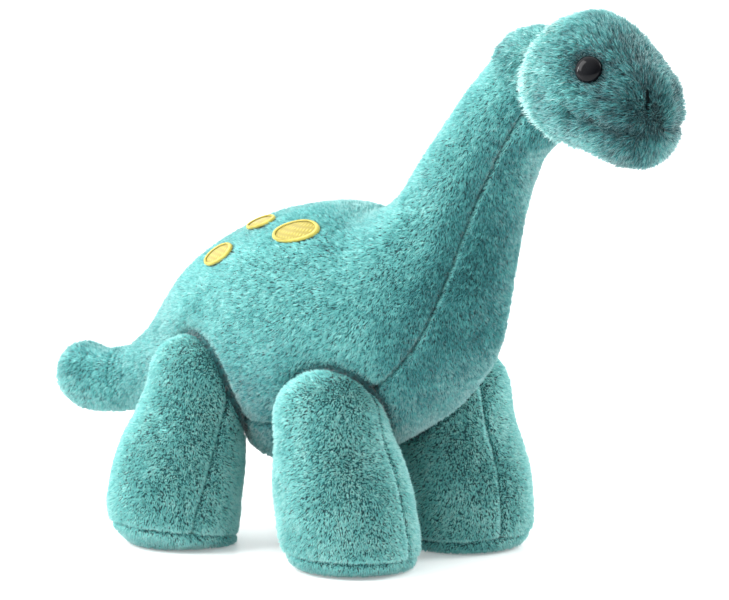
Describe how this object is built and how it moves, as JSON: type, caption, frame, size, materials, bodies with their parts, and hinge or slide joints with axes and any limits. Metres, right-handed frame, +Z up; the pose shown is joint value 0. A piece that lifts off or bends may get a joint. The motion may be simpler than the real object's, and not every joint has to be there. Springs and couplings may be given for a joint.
{
  "type": "stuffed dinosaur",
  "caption": "Soft plush long-necked dinosaur standing on round stuffed legs, with glossy domed eyes, a stitched smile and oval spots on its back.",
  "frame": {"origin": "on the floor, under the middle of the toy's length and width", "axes": "+X forward to the nose, +Y to the toy's left, +Z up"},
  "size_m": [0.2587, 0.1174, 0.1743],
  "materials": {
    "plush_teal": "short soft pile with a sheen",
    "plush_head": "longer shiny pile",
    "spot_yellow": "satin stitched edge, woven middle",
    "eye_black": "polished",
    "thread_dark": "twisted thread",
    "stuffing_white": "loose fibre",
    "washer_white": "moulded"
  },
  "bodies": {
    "body": {"body_left_panel": "plush_teal", "body_right_panel": "plush_teal", "chest_belly_panel": "plush_teal", "body_stuffing": "stuffing_white", "spot_left_a": "spot_yellow", "spot_left_b": "spot_yellow", "spot_left_c": "spot_yellow", "spot_right_a": "spot_yellow", "spot_right_b": "spot_yellow", "spot_right_c": "spot_yellow"},
    "head": {"head_left_panel": "plush_head", "head_right_panel": "plush_head", "chin_panel": "plush_head", "head_stuffing": "stuffing_white", "eye_left": "eye_black", "eye_right": "eye_black", "eye_washer_left": "washer_white", "eye_washer_right": "washer_white", "nostril_stitch_left": "thread_dark", "nostril_stitch_right": "thread_dark", "smile_stitch": "thread_dark"},
    "leg_front_left": {"leg_front_left_outer_panel": "plush_teal", "leg_front_left_inner_panel": "plush_teal", "leg_front_left_sole": "plush_teal", "leg_front_left_stuffing": "stuffing_white"},
    "leg_front_right": {"leg_front_right_outer_panel": "plush_teal", "leg_front_right_inner_panel": "plush_teal", "leg_front_right_sole": "plush_teal", "leg_front_right_stuffing": "stuffing_white"},
    "leg_rear_left": {"leg_rear_left_outer_panel": "plush_teal", "leg_rear_left_inner_panel": "plush_teal", "leg_rear_left_sole": "plush_teal", "leg_rear_left_stuffing": "stuffing_white"},
    "leg_rear_right": {"leg_rear_right_outer_panel": "plush_teal", "leg_rear_right_inner_panel": "plush_teal", "leg_rear_right_sole": "plush_teal", "leg_rear_right_stuffing": "stuffing_white"}
  },
  "joints": [
    {"name": "neck_nod", "type": "hinge", "parent": "body", "child": "head", "pos_m": [0.07691, 0, 0.152], "axis": [0, 1, 0], "range_deg": [-12, 12], "stiffness_Nm_per_rad": 0.25},
    {"name": "shoulder_left", "type": "hinge", "parent": "body", "child": "leg_front_left", "pos_m": [0.01831, 0.0267, 0.0456], "axis": [0, 1, 0], "range_deg": [-10, 10], "stiffness_Nm_per_rad": 0.6},
    {"name": "shoulder_right", "type": "hinge", "parent": "body", "child": "leg_front_right", "pos_m": [0.01831, -0.0267, 0.0456], "axis": [0, 1, 0], "range_deg": [-10, 10], "stiffness_Nm_per_rad": 0.6},
    {"name": "hip_left", "type": "hinge", "parent": "body", "child": "leg_rear_left", "pos_m": [-0.04029, 0.0267, 0.0496], "axis": [0, 1, 0], "range_deg": [-8, 8], "stiffness_Nm_per_rad": 0.6},
    {"name": "hip_right", "type": "hinge", "parent": "body", "child": "leg_rear_right", "pos_m": [-0.04029, -0.0267, 0.0496], "axis": [0, 1, 0], "range_deg": [-8, 8], "stiffness_Nm_per_rad": 0.6}
  ]
}
